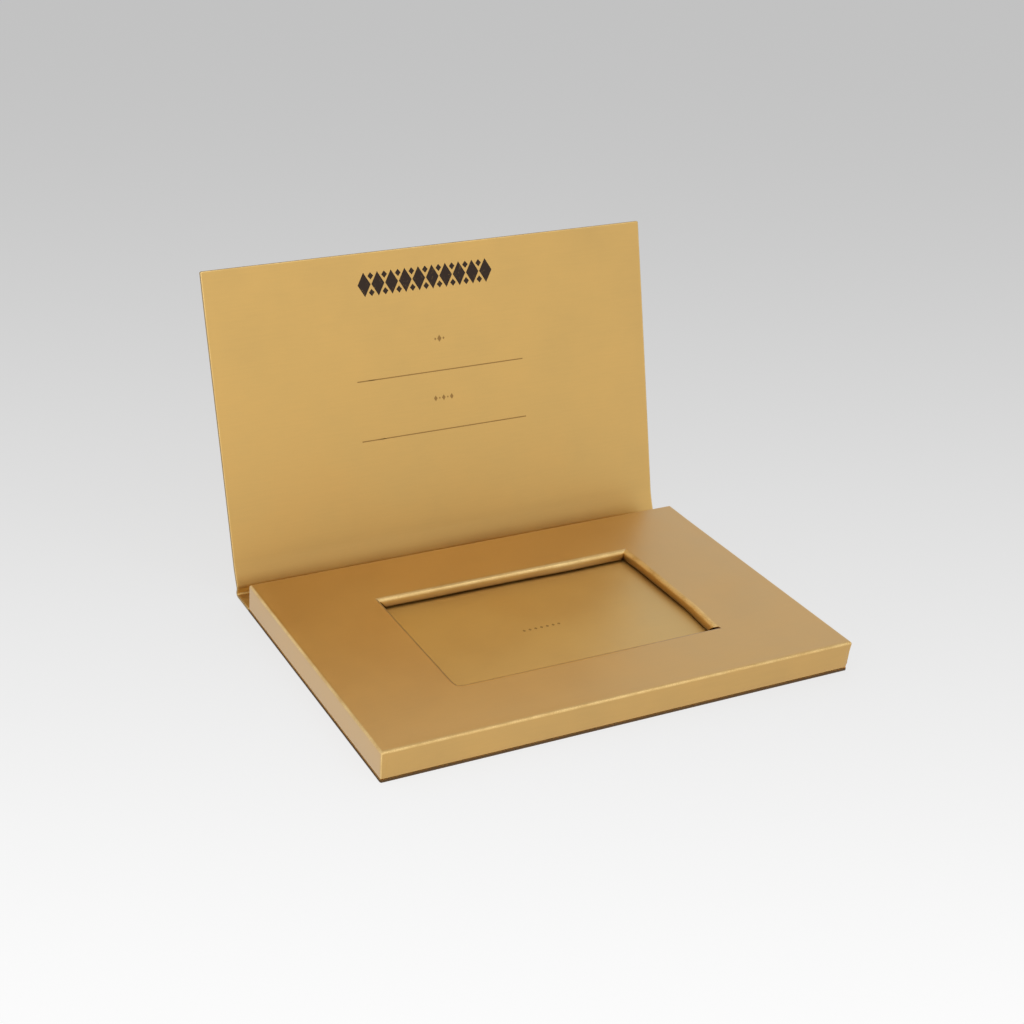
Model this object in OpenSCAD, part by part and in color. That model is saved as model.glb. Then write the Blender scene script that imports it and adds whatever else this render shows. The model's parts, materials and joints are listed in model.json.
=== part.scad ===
// Gift card holder: a creased card cover round a shallow folded tray.
// X runs along the width, Y from front to back and Z up. The origin is the
// centre of the base panel's underside. The lid is drawn open, leaning back.

/* [Card] */
// Width of the gift card that the recess takes
card_w = 85.6; // [80:0.1:90]
// Depth of the gift card, front to back
card_d = 53.98; // [50:0.01:58]
// Play between the card and each wall of the recess
card_play = 0.65; // [0.3:0.05:1.5]
// Depth of the recess, from the tray's top face to the platform
recess_depth = 3.4; // [2.9:0.1:4.5]

/* [Tray] */
// Width of the tray, side to side
tray_w = 154; // [140:1:190]
// Depth of the tray, front to back
tray_d = 101; // [95:1:130]
// Height of the tray above the base panel
tray_h = 8.7; // [7.5:0.1:12]
// Thickness of the card that the tray and the platform are folded from
stock_t = 0.45; // [0.3:0.05:0.6]
// Outer radius of the fold round the tray's top edge
edge_fold_r = 0.8; // [0.7:0.05:1.2]
// Outer radius of the fold between a wall and its glue flange
hem_fold_r = 0.7; // [0.65:0.05:0.9]
// Width of the glue flanges, from the wall's outer face
flange_w = 11; // [8:0.5:13]
// Gap between two glue flanges where they meet at a corner
flange_gap = 0.5; // [0.2:0.1:2]
// Length of the corner tabs
tab_w = 12; // [6:0.5:20]
// Space kept above and below a corner tab
tab_play = 0.4; // [0.2:0.1:1]

/* [Window flaps] */
// Outer radius of the rolled fold round the window
lip_fold_r = 1; // [0.7:0.05:1.3]
// Height of the turned-down flaps, from the tray's top face
flap_h = 2.4; // [1.8:0.1:2.7]
// How far a flap's end runs back from the corner at its lower edge
flap_cut = 2.6; // [1.5:0.1:4]
// Slit between two flaps where they meet at a corner
flap_slit = 0.12; // [0.05:0.01:0.4]

/* [Platform] */
// How far the platform reaches past the window on each side
platform_lap = 8; // [4:0.5:9]
// Width of the platform's feet, from the leg's outer face
foot_w = 10; // [8:0.5:20]

/* [Cover] */
// Thickness of the cover's board
board_t = 0.8; // [0.5:0.05:1.5]
// How far the cover stands out past the tray at the front and the sides
cover_margin = 0.25; // [0.1:0.05:2]
// Gap between the tray's back wall and the crease of the base panel
spine_gap = 0.8; // [0.6:0.1:3]
// Space between the tray's top face and the closed lid
lid_play = 1.1; // [0.5:0.1:3]
// Angle that the open lid leans back from upright
lid_lean = 15; // [0:1:80]
// Radius of the bead that the creasing rule leaves along each crease
crease_bead_r = 0.3; // [0.2:0.05:0.45]
// Gap between a crease bead and the panel that folds on it
crease_gap = 0.1; // [0.05:0.01:0.2]

/* [Adhesive] */
// Thickness of the double-sided tape
tape_t = 0.15; // [0.1:0.01:0.3]
// Width of the tape
tape_w = 6; // [3:0.5:7]
// How far the tape lies in from the edge of what it holds
tape_inset = 2; // [1:0.1:4]

/* [Hidden] */
$fn = 64;

GOLD_LIT = [0.80, 0.67, 0.42];
GOLD = [0.74, 0.58, 0.33];
GOLD_DEEP = [0.62, 0.45, 0.20];
BEIGE_SIDE = [0.76, 0.67, 0.54];
TAPE = [0.90, 0.88, 0.82];

// Space past a solid that a cutting shape needs on each side
cut_over = 1;

// Cover
cover_w = tray_w + 2 * cover_margin;
base_d = cover_margin + tray_d + spine_gap;
spine_d = tray_h + lid_play;
lid_len = base_d;
base_front_y = -base_d / 2;
base_crease_y = base_d / 2;
lid_crease_y = base_crease_y + spine_d;
crease_z = board_t;
crease_setback = crease_bead_r + crease_gap;

// Tray
tray_mid_y = base_front_y + cover_margin + tray_d / 2;
tray_size = [tray_w, tray_d];
tray_top_z = board_t + tray_h;
flange_z = board_t + tape_t;
tab_z = flange_z + stock_t + tab_play;
tab_top_z = tray_top_z - edge_fold_r - tab_play;

// Window, measured between the faces of its flaps
window_size = [card_w + 2 * card_play, card_d + 2 * card_play];

// Platform
platform_size = [window_size.x + 2 * platform_lap, window_size.y + 2 * platform_lap];
platform_z = tray_top_z - recess_depth;
foot_z = board_t + tape_t;

// A side of a rectangle is "front", "right", "back" or "left". Its first corner
// is the one that comes first on the way round, anticlockwise from above.

// Angle from the front of a rectangle to one of its sides
function side_angle(side) =
    side == "right" ? 90 :
    side == "back" ? 180 :
    side == "left" ? 270 : 0;

// Whether a side runs along X
function runs_along_x(side) = side == "front" || side == "back";

// Length of one side of a rectangle
function side_len(size, side) = runs_along_x(side) ? size.x : size.y;

// Distance from a rectangle's middle to one side
function side_out(size, side) = (runs_along_x(side) ? size.y : size.x) / 2;

// Puts the children at one side of a rectangle round the tray's middle:
// X along the side from its first corner, Y inward, Z up.
module at_side(size, side) {
    translate([0, tray_mid_y, 0])
        rotate(side_angle(side))
            translate([-side_len(size, side) / 2, -side_out(size, side), 0])
                children();
}

// Quarter of a folded sheet's section, in the quadrant of +X and +Y
module quarter_fold(radius, sheet_t) {
    intersection() {
        difference() {
            circle(radius);
            circle(radius - sheet_t);
        }
        square(radius);
    }
}

// Draws a section in Y and Z along X
module run_along(length) {
    rotate([90, 0, 90])
        linear_extrude(length)
            children();
}

// Section of a tray wall: the fold at the top edge, the wall and the hem fold
module wall_section() {
    hem_top = flange_z + hem_fold_r;
    fold_low = tray_top_z - edge_fold_r;
    translate([edge_fold_r, fold_low])
        mirror([1, 0])
            quarter_fold(edge_fold_r, stock_t);
    translate([0, hem_top])
        square([stock_t, fold_low - hem_top]);
    translate([hem_fold_r, hem_top])
        rotate(180)
            quarter_fold(hem_fold_r, stock_t);
}

// A tray wall with both ends mitred, so that it meets its neighbours
module tray_wall(side) {
    length = side_len(tray_size, side);
    reach = max(edge_fold_r, hem_fold_r);
    at_side(tray_size, side)
        intersection() {
            run_along(length)
                wall_section();
            linear_extrude(tray_top_z + cut_over)
                polygon([[0, 0], [length, 0], [length - reach, reach], [reach, reach]]);
        }
}

// The flat top of the tray, from fold to fold, with the window cut out
module tray_top_sheet() {
    flat = tray_size - 2 * edge_fold_r * [1, 1];
    hole = window_size + 2 * lip_fold_r * [1, 1];
    translate([0, tray_mid_y, tray_top_z - stock_t])
        linear_extrude(stock_t)
            difference() {
                square(flat, center = true);
                square(hole, center = true);
            }
}

// Section of a window flap: the rolled fold and the turned-down lip
module flap_section() {
    fold_low = tray_top_z - lip_fold_r;
    translate([-lip_fold_r, fold_low])
        quarter_fold(lip_fold_r, stock_t);
    translate([-stock_t, tray_top_z - flap_h])
        square([stock_t, flap_h - lip_fold_r]);
}

// A window flap. It is mitred in plan where it rolls over, and its ends run
// back from the corners towards its lower edge, as the cuts in the flat sheet do.
module window_flap(side) {
    length = side_len(window_size, side);
    first = -lip_fold_r;
    last = length + lip_fold_r;
    low = tray_top_z - flap_h;
    at_side(window_size, side)
        intersection() {
            translate([first, 0, 0])
                run_along(last - first)
                    flap_section();
            translate([0, 0, low - cut_over])
                linear_extrude(flap_h + 2 * cut_over)
                    polygon([
                        [first + flap_slit, first], [last - flap_slit, first],
                        [length - flap_slit, 0], [flap_slit, 0]
                    ]);
            rotate([90, 0, 0])
                linear_extrude(lip_fold_r)
                    polygon([
                        [first, tray_top_z], [last, tray_top_z],
                        [last - flap_cut, low], [first + flap_cut, low]
                    ]);
        }
}

// A glue flange, turned in under its wall, with both ends cut back at 45 degrees
module glue_flange(side) {
    length = side_len(tray_size, side);
    near = hem_fold_r + flange_gap;
    far = flange_w + flange_gap;
    at_side(tray_size, side)
        translate([0, 0, flange_z])
            linear_extrude(stock_t)
                polygon([
                    [near, hem_fold_r], [length - near, hem_fold_r],
                    [length - far, flange_w], [far, flange_w]
                ]);
}

// A corner tab, folded from a side wall to lie behind the front or back wall.
// corner is "first" or "last", counted along the front or back wall.
module corner_tab(side, corner) {
    length = side_len(tray_size, side);
    start = corner == "first" ? stock_t : length - stock_t - tab_w;
    at_side(tray_size, side)
        translate([start, stock_t, tab_z])
            cube([tab_w, stock_t, tab_top_z - tab_z]);
}

// A strip of tape under a glue flange
module tray_tape(side) {
    length = side_len(tray_size, side);
    clear = flange_w + tape_inset;
    at_side(tray_size, side)
        translate([clear, tape_inset, board_t])
            cube([length - 2 * clear, tape_w, tape_t]);
}

// The raised floor that the card lies on
module platform_sheet() {
    translate([0, tray_mid_y, platform_z - stock_t])
        linear_extrude(stock_t)
            square(platform_size, center = true);
}

// A leg of the platform, standing under its front or back edge
module platform_leg(side) {
    at_side(platform_size, side)
        translate([0, 0, foot_z])
            cube([side_len(platform_size, side), stock_t, platform_z - stock_t - foot_z]);
}

// A foot of the platform, turned in from the leg
module platform_foot(side) {
    at_side(platform_size, side)
        translate([0, stock_t, foot_z])
            cube([side_len(platform_size, side), foot_w - stock_t, stock_t]);
}

// A strip of tape under a foot of the platform
module platform_tape(side) {
    at_side(platform_size, side)
        translate([tape_inset, tape_inset, board_t])
            cube([side_len(platform_size, side) - 2 * tape_inset, tape_w, tape_t]);
}

// The base panel, which ends just short of its crease
module base_board() {
    translate([-cover_w / 2, base_front_y, 0])
        cube([cover_w, base_d - crease_setback, board_t]);
}

// The bead along a crease, a round bar on the line that the panels fold about
module crease_bead(y) {
    translate([-cover_w / 2, y, crease_z])
        rotate([0, 90, 0])
            cylinder(h = cover_w, r = crease_bead_r);
}

// The spine panel, from crease to crease, with a bead along both
module spine_board() {
    translate([-cover_w / 2, base_crease_y, 0])
        cube([cover_w, spine_d, board_t]);
    crease_bead(base_crease_y);
    crease_bead(lid_crease_y);
}

// The lid panel, leaning back from its crease
module lid_board() {
    translate([0, lid_crease_y, crease_z])
        rotate([90 - lid_lean, 0, 0])
            translate([-cover_w / 2, crease_setback, -board_t])
                cube([cover_w, lid_len - crease_setback, board_t]);
}

module base_panel() color(GOLD_DEEP) base_board();
module spine_panel() color(GOLD_DEEP) spine_board();
module lid_panel() color(GOLD_LIT) lid_board();
module tray_top() color(GOLD) tray_top_sheet();
module tray_front_wall() color(GOLD) tray_wall("front");
module tray_right_wall() color(BEIGE_SIDE) tray_wall("right");
module tray_back_wall() color(GOLD) tray_wall("back");
module tray_left_wall() color(BEIGE_SIDE) tray_wall("left");
module window_flap_front() color(GOLD_DEEP) window_flap("front");
module window_flap_right() color(GOLD_DEEP) window_flap("right");
module window_flap_back() color(GOLD_DEEP) window_flap("back");
module window_flap_left() color(GOLD_DEEP) window_flap("left");
module glue_flange_front() color(BEIGE_SIDE) glue_flange("front");
module glue_flange_right() color(BEIGE_SIDE) glue_flange("right");
module glue_flange_back() color(BEIGE_SIDE) glue_flange("back");
module glue_flange_left() color(BEIGE_SIDE) glue_flange("left");
module corner_tab_front_left() color(BEIGE_SIDE) corner_tab("front", "first");
module corner_tab_front_right() color(BEIGE_SIDE) corner_tab("front", "last");
module corner_tab_back_right() color(BEIGE_SIDE) corner_tab("back", "first");
module corner_tab_back_left() color(BEIGE_SIDE) corner_tab("back", "last");
module platform_top() color(GOLD) platform_sheet();
module platform_leg_front() color(BEIGE_SIDE) platform_leg("front");
module platform_leg_back() color(BEIGE_SIDE) platform_leg("back");
module platform_foot_front() color(BEIGE_SIDE) platform_foot("front");
module platform_foot_back() color(BEIGE_SIDE) platform_foot("back");
module tray_tape_front() color(TAPE) tray_tape("front");
module tray_tape_right() color(TAPE) tray_tape("right");
module tray_tape_back() color(TAPE) tray_tape("back");
module tray_tape_left() color(TAPE) tray_tape("left");
module platform_tape_front() color(TAPE) platform_tape("front");
module platform_tape_back() color(TAPE) platform_tape("back");

base_panel();
spine_panel();
lid_panel();
tray_top();
tray_front_wall();
tray_right_wall();
tray_back_wall();
tray_left_wall();
window_flap_front();
window_flap_right();
window_flap_back();
window_flap_left();
glue_flange_front();
glue_flange_right();
glue_flange_back();
glue_flange_left();
corner_tab_front_left();
corner_tab_front_right();
corner_tab_back_right();
corner_tab_back_left();
platform_top();
platform_leg_front();
platform_leg_back();
platform_foot_front();
platform_foot_back();
tray_tape_front();
tray_tape_right();
tray_tape_back();
tray_tape_left();
platform_tape_front();
platform_tape_back();
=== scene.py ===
import json
import math
from typing import NamedTuple

import bmesh
import bpy
from bpy.props import FloatProperty, FloatVectorProperty, IntProperty, PointerProperty
from bpy.types import Operator, Panel, PropertyGroup
from mathutils import Matrix, Vector, noise


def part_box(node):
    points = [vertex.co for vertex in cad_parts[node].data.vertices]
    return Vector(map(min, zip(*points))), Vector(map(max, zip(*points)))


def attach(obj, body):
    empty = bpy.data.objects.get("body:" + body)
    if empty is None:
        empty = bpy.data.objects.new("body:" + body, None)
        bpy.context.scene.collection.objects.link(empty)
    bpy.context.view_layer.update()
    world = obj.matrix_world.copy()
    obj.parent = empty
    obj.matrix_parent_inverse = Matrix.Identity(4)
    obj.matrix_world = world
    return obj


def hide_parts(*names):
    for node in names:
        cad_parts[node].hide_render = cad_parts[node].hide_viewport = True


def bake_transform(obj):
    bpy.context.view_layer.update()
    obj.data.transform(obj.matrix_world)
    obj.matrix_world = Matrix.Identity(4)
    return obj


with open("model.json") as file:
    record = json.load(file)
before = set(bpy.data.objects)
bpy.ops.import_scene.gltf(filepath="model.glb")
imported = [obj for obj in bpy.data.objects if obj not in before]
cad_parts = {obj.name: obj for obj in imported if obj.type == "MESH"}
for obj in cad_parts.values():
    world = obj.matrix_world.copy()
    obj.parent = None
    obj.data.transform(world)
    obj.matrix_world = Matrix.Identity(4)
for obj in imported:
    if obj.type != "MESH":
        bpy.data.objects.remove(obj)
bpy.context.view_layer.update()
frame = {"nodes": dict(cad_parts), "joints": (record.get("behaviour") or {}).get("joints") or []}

bl_info = {
    "name": "Gift card holder",
    "version": (1, 0, 0),
    "blender": (4, 5, 0),
    "location": "3D View > Sidebar > Card holder",
    "description": "Builds the folded card holder, its printing and its studio",
    "category": "Object",
}

MM = 0.001

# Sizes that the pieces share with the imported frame, in metres
BASE_LO, BASE_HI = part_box("base_panel")
TOP_LO, TOP_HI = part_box("tray_top")
FRONT_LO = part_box("tray_front_wall")[0]
RIGHT_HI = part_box("tray_right_wall")[1]
LIP_LEFT_LO, LIP_LEFT_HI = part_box("window_flap_left")
LIP_RIGHT_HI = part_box("window_flap_right")[1]
LIP_FRONT_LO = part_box("window_flap_front")[0]
LIP_BACK_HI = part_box("window_flap_back")[1]
FLANGE_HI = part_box("glue_flange_right")[1]
PLATFORM_LO, PLATFORM_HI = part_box("platform_top")
LID_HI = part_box("lid_panel")[1]
JOINTS = {joint["name"]: joint for joint in frame["joints"]}
BASE_CREASE = Vector(JOINTS["spine_fold"]["pos_m"])
LID_CREASE = Vector(JOINTS["lid_fold"]["pos_m"])
LID_ANGLE = math.radians(-JOINTS["lid_fold"]["range_deg"][0])
LID_ALONG = Vector((0, math.cos(LID_ANGLE), math.sin(LID_ANGLE)))
LID_INWARD = Vector((0, -math.sin(LID_ANGLE), math.cos(LID_ANGLE)))
LID_LENGTH = (LID_HI.z - LID_CREASE.z) / math.sin(LID_ANGLE)
COVER_HALF = BASE_HI.x
BOARD = BASE_HI.z - BASE_LO.z
SETBACK = BASE_CREASE.y - BASE_HI.y
STOCK = TOP_HI.z - TOP_LO.z
EDGE_FOLD = RIGHT_HI.x - TOP_HI.x
HEM_FOLD = RIGHT_HI.x - FLANGE_HI.x
FLAP_DROP = LIP_LEFT_HI.z - LIP_LEFT_LO.z
QUARTER = math.pi / 2
SAME_PLACE = 1e-7

SIDES = {
    "front": Vector((0, -1, 0)),
    "right": Vector((1, 0, 0)),
    "back": Vector((0, 1, 0)),
    "left": Vector((-1, 0, 0)),
}


# Settings


def length(name, default, low, high, description):
    """A size in millimetres, which Blender holds in metres."""
    return FloatProperty(name=name, description=description, default=default * MM,
                         min=low * MM, max=high * MM, precision=6, unit="LENGTH")


def colour(name, default, description):
    return FloatVectorProperty(name=name, description=description, default=default,
                               min=0, max=1, size=3, subtype="COLOR")


def strength(name, default, description):
    return FloatProperty(name=name, description=description, default=default, min=0, max=50)


class HolderSizes(PropertyGroup):
    corner_radius: length("Cover corner radius", 0.6, 0.1, 1.1,
        "Radius of the cover's corners, seen from above")
    edge_round: length("Cut edge rounding", 0.12, 0.02, 0.3,
        "Radius of the crushed arris along the cover's cut edges")
    lid_bow: length("Lid bow", 0.25, 0.0, 0.6,
        "How far the middle of the lid bows towards its inner side")
    foot_curve: length("Lid foot curve", 1.35, 0.0, 1.5,
        "How far the lid's foot stands forward of its plane beside the crease")
    bead: length("Crease bead", 0.28, 0.0, 0.3,
        "Height of the bead on the inner side of each crease")
    tray_corner: length("Tray corner radius", 0.4, 0.2, 0.75,
        "Outer radius of the tray's upright corners")
    hem_radius: length("Hem radius", 0.3, 0.1, 0.6,
        "Outer radius of the fold along the foot of the tray's walls")
    tray_relief: length("Tray unevenness", 0.07, 0.0, 0.3,
        "Height of the soft waves in the tray's top")
    flap_spring: FloatProperty(
        name="Flap spring",
        description="How far the window flaps spring back from upright",
        default=math.radians(7), min=0.0, max=math.radians(20), subtype="ANGLE")
    roll_radius: length("Flap roll radius", 1.35, 0.8, 1.6,
        "Outer radius of the soft roll where a window flap turns down")
    flap_hang: length("Flap hang", 0.55, 0.0, 0.7,
        "How far the window flaps reach below their length in the drawing")
    back_rise: length("Tray back rise", 0.12, 0.0, 0.6,
        "How far the tray's top rises towards its back fold")
    seam_inset: length("Corner seam inset", 1.4, 0.9, 3,
        "Distance from the tray's corner to the cut end of its front and back walls")
    ink_lift: length("Ink thickness", 0.03, 0.005, 0.05,
        "Thickness of the printed marks")
    rule_thickness: length("Rule thickness", 0.36, 0.2, 1,
        "Thickness of the two writing lines")
    ornament_count: IntProperty(
        name="Ornaments in the heading",
        description="Number of tall lozenges in the band at the top of the lid",
        default=10, min=3, max=16)


class HolderColours(PropertyGroup):
    gold: colour("Cover foil", (0.62, 0.372, 0.083),
        "Colour of the cover's gold foil, looked at squarely")
    tray_gold: colour("Tray foil", (0.6, 0.348, 0.077),
        "Colour of the tray's gold foil, looked at squarely")
    platform_gold: colour("Platform foil", (0.63, 0.4, 0.095),
        "Colour of the platform's gold foil")
    # Painted highlight: this worn foil colour also stands in for the highlight along the folds and
    # flap rolls.
    gold_worn_and_highlight: colour("Rubbed foil and painted highlight", (0.9, 0.63, 0.24),
        "Colour of the foil where folds and edges are rubbed")
    # Painted shade: this dark colour is painted on the flap feet and along the front and left flap
    # rolls.
    gold_painted_shade: colour("Painted shade on the foil", (0.3, 0.15, 0.03),
        "Colour of the foil in dark creases")
    core: colour("Cut edge", (0.36, 0.25, 0.12),
        "Colour of the core along the lid's cut edges")
    # Painted shade: a much darker copy of the board's core colour, put on the base's cut edges for
    # the shade where the cover meets the table.
    core_in_painted_shade: colour("Cut edge at the table", (0.1, 0.055, 0.022),
        "Colour of the board's core along the base's cut edges")
    stock_core: colour("Tray cut edge", (0.3, 0.12, 0.025),
        "Colour of the thinner card's core")
    reverse: colour("Reverse of the tray card", (0.6, 0.23, 0.03),
        "Colour of the unprinted side")
    ink: colour("Heading ink", (0.03, 0.016, 0.009),
        "Colour of the heading's ink")
    line_ink: colour("Line ink", (0.33, 0.185, 0.05),
        "Colour of the writing lines and the small marks")
    tape: colour("Tape", (0.72, 0.7, 0.62),
        "Colour of the double-sided tape")


class StudioSettings(PropertyGroup):
    floor_shade: FloatProperty(
        name="Floor shading",
        description="Share of the floor's brightness that shadows can take away",
        default=0.12, min=0, max=1, subtype="FACTOR")
    key_strength: strength("Key light", 0.15, "Strength of the soft light above and behind")
    front_strength: strength("Front light", 0.75, "Strength of the soft light in front")
    overhead_strength: strength("Overhead light", 3.2, "Strength of the small light overhead")


def sizes():
    return bpy.context.scene.holder_sizes


def colours():
    return bpy.context.scene.holder_colours


def studio():
    return bpy.context.scene.holder_studio


# Sheets of card as meshes


def ease(t):
    """0 to 1 with soft ends."""
    t = min(1.0, max(0.0, t))
    return t * t * (3 - 2 * t)


def spaced(start, stop, step, fine=()):
    """Positions from start to stop about a step apart, with closer ones near both ends."""
    near = [f for f in fine if 3 * f < stop - start]
    inset = near[-1] if near else 0.0
    count = max(1, round((stop - start - 2 * inset) / step))
    line = [start + inset + (stop - start - 2 * inset) * i / count for i in range(count + 1)]
    line += [start, stop] + [start + f for f in near] + [stop - f for f in near]
    return sorted({round(value, 9) for value in line})


def hump(away, width):
    """1 where away is 0, and next to nothing at twice the width."""
    return math.exp(-((away / width) ** 2))


def shares(count):
    """1 / count, 2 / count and so on, up to 1."""
    return [i / count for i in range(1, count + 1)]


def waves(x, y, per_x, per_y, seed):
    """Soft unevenness of card, from about -1 to 1. per_x and per_y say how fine it is."""
    return noise.noise(Vector((x * per_x, y * per_y, seed)))


class Sheet:
    """The points and faces of one sheet of card, with each point's place in the flat blank."""

    def __init__(self):
        # Each point carries one value for wear and painted light: positive values give worn pale
        # foil, which along folds and rolls is also their painted highlight; negative ones give
        # painted shade.
        self.points, self.flat, self.wear_and_painted_light = [], [], []
        self.faces, self.skins = [], []

    def point(self, at, flat, wear_and_painted_light=0.0):
        self.points.append(Vector(at))
        self.flat.append(tuple(flat)[:2])
        self.wear_and_painted_light.append(wear_and_painted_light)
        return len(self.points) - 1

    def face(self, loop, skin=0):
        corners = [i for n, i in enumerate(loop) if i != loop[n - 1]]
        if len(set(corners)) >= 3:
            self.faces.append(corners)
            self.skins.append(skin)

    def band(self, upper, lower, skin=0, closed=True):
        """Faces between two rows of points, seen from the side where the rows run to the right."""
        last = len(upper) if closed else len(upper) - 1
        for i in range(last):
            j = (i + 1) % len(upper)
            self.face((lower[i], lower[j], upper[j], upper[i]), skin)

    def make(self, name, materials, face_out=False):
        """The finished mesh object. face_out turns the faces of a closed piece outwards."""
        mesh = bpy.data.meshes.new(name)
        mesh.from_pydata(self.points, [], self.faces)
        mesh.polygons.foreach_set("material_index", self.skins)
        flat = mesh.uv_layers.new(name="blank")
        for loop in mesh.loops:
            flat.data[loop.index].uv = self.flat[loop.vertex_index]
        wear_and_painted_light = mesh.attributes.new("wear_and_painted_light", "FLOAT", "POINT")
        wear_and_painted_light.data.foreach_set("value", self.wear_and_painted_light)
        body = bmesh.new()
        body.from_mesh(mesh)
        bmesh.ops.remove_doubles(body, verts=body.verts, dist=SAME_PLACE)
        bmesh.ops.dissolve_degenerate(body, dist=1e-8, edges=body.edges)
        if face_out:
            bmesh.ops.recalc_face_normals(body, faces=body.faces)
        body.to_mesh(mesh)
        body.free()
        mesh.shade_smooth()
        mesh.set_sharp_from_angle(angle=math.radians(50))
        for material in materials:
            mesh.materials.append(material)
        piece = bpy.data.objects.new(name, mesh)
        bpy.context.scene.collection.objects.link(piece)
        return piece


def rectangle_loop(xs, ys, fan):
    """The points round a grid's edge, anticlockwise from the front left, each with its
    grid place, the one or two sides it belongs to and its place in a corner's fan."""
    nx, ny = len(xs) - 1, len(ys) - 1
    corners, sides = [(0, 0), (nx, 0), (nx, ny), (0, ny)], list(SIDES)
    loop = []
    for n, side in enumerate(sides):
        (i, j), (next_i, next_j) = corners[n], corners[(n + 1) % 4]
        loop += [(i, j, (sides[n - 1], side), k / fan) for k in range(fan + 1)]
        steps = abs(next_i - i) + abs(next_j - j)
        di, dj = (next_i - i) // steps, (next_j - j) // steps
        loop += [(i + di * k, j + dj * k, (side,), 0.0) for k in range(1, steps)]
    return loop


def pushed_out(sides, share, out, radius):
    """How far a point of a ring lies out from its place on the grid's edge. out gives the
    distance for each side; a corner's points run round an arc of the given radius."""
    if len(sides) == 1:
        return SIDES[sides[0]] * out[sides[0]]
    first, second = sides
    turn = share * QUARTER
    radius = max(0.0, min(radius, out[first], out[second]))
    return (SIDES[first] * (out[first] - radius + radius * math.cos(turn))
            + SIDES[second] * (out[second] - radius + radius * math.sin(turn)))


def slab(name, lo, hi, thick, place, materials, free, wave=None, taper=None, step=6 * MM,
         close=()):
    """A flat sheet of board with softly rounded cut edges on its free sides.

    lo and hi are its corners in the flat, place puts a flat point at a height into the
    frame, wave gives the height of its inner face, taper shifts points sideways, and close
    lists how far the extra rows at its front and back edges stand in from them."""
    rim = 1.2 * MM
    round_r, corner_r = sizes().edge_round, sizes().corner_radius
    inset = {side: rim if side in free else 0.0 for side in SIDES}
    xs = spaced(lo[0] + inset["left"], hi[0] - inset["right"], step)
    ys = spaced(lo[1] + inset["front"], hi[1] - inset["back"], step, close)
    wave = wave or (lambda x, y: 0.0)
    taper = taper or (lambda x, y: (x, y))
    sheet = Sheet()

    def put(x, y, height, wear_and_painted_light=0.0):
        x, y = taper(x, y)
        return sheet.point(place(x, y, height + wave(x, y)), (x, y), wear_and_painted_light)

    def grid(height, flip):
        index = [[put(x, y, height) for y in ys] for x in xs]
        for i in range(len(xs) - 1):
            for j in range(len(ys) - 1):
                corners = (index[i][j], index[i + 1][j], index[i + 1][j + 1], index[i][j + 1])
                sheet.face(corners[::-1] if flip else corners)
        return index

    def ring(out, height, wear_and_painted_light):
        offsets = {side: out if side in free else 0.0 for side in SIDES}
        row = []
        for i, j, sides, share in loop:
            shift = pushed_out(sides, share, offsets, corner_r * out / rim)
            row.append(put(xs[i] + shift.x, ys[j] + shift.y, height, wear_and_painted_light))
        return row

    loop = rectangle_loop(xs, ys, 5)
    top, bottom = grid(0.0, False), grid(-thick, True)
    # How far in from both faces the middle of an edge's rounding lies
    nick = round_r * (1 - math.sin(QUARTER / 2))
    # From here outwards the foil is rubbed
    unworn = rim * 0.6
    rings = [([top[i][j] for i, j, _, _ in loop], 0)]
    rings += [(ring(out, height, wear_and_painted_light), skin) for out, height, wear_and_painted_light, skin in (
        (unworn, 0.0, 0.0, 0), (rim - round_r, 0.0, 1.0, 1), (rim - nick, -nick, 1.0, 1),
        (rim, -round_r, 1.0, 1), (rim, round_r - thick, 1.0, 1),
        (rim - nick, nick - thick, 1.0, 1), (rim - round_r, -thick, 1.0, 0),
        (unworn, -thick, 0.0, 0))]
    rings.append(([bottom[i][j] for i, j, _, _ in loop], 0))
    for (upper, skin), (lower, _) in zip(rings, rings[1:]):
        sheet.band(upper, lower, skin)
    return sheet.make(name, materials)


# The cover: three panels and the two creases between them


def cover_wave(x, s):
    """Height of the lid's inner face, s from its crease: a slight bow and soft ripples."""
    rise_run, fall_run, flat_run = 2 * MM, 9 * MM, 12 * MM
    along = min(1.0, max(0.0, s / LID_LENGTH))
    across = 1 - 0.35 * (x / COVER_HALF) ** 2
    bow = sizes().lid_bow * math.sin(math.pi * along ** 0.9) * across
    ripple = 0.06 * MM * waves(x, s, 22, 26, 3.1) * ease(s / flat_run)
    foot = ease((s - SETBACK) / rise_run) * max(0.0, 1 - s / fall_run) ** 1.4
    return bow + ripple + sizes().foot_curve * foot


def on_base(x, y, height):
    """A point at a height over the base and the spine."""
    return Vector((x, y, BASE_HI.z + height))


def on_lid(x, s, height):
    """A point at a height over the lid's inner side, s up from its crease."""
    return Vector((x, 0, 0)) + LID_CREASE + LID_ALONG * s + LID_INWARD * height


def base_taper(x, y):
    """The base sheet's right edge runs in a little towards its front."""
    run_in = 1.1 * MM
    front = ease((BASE_CREASE.y - y) / (BASE_CREASE.y - BASE_LO.y))
    if x > 0:
        x -= run_in * front * ease(x / COVER_HALF)
    return x, y


def lid_taper(x, s):
    """The lid widens very slightly towards its upper edge."""
    spread = 0.4 * MM
    return x * (1 + (spread / COVER_HALF) * ease(s / LID_LENGTH)), s


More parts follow.
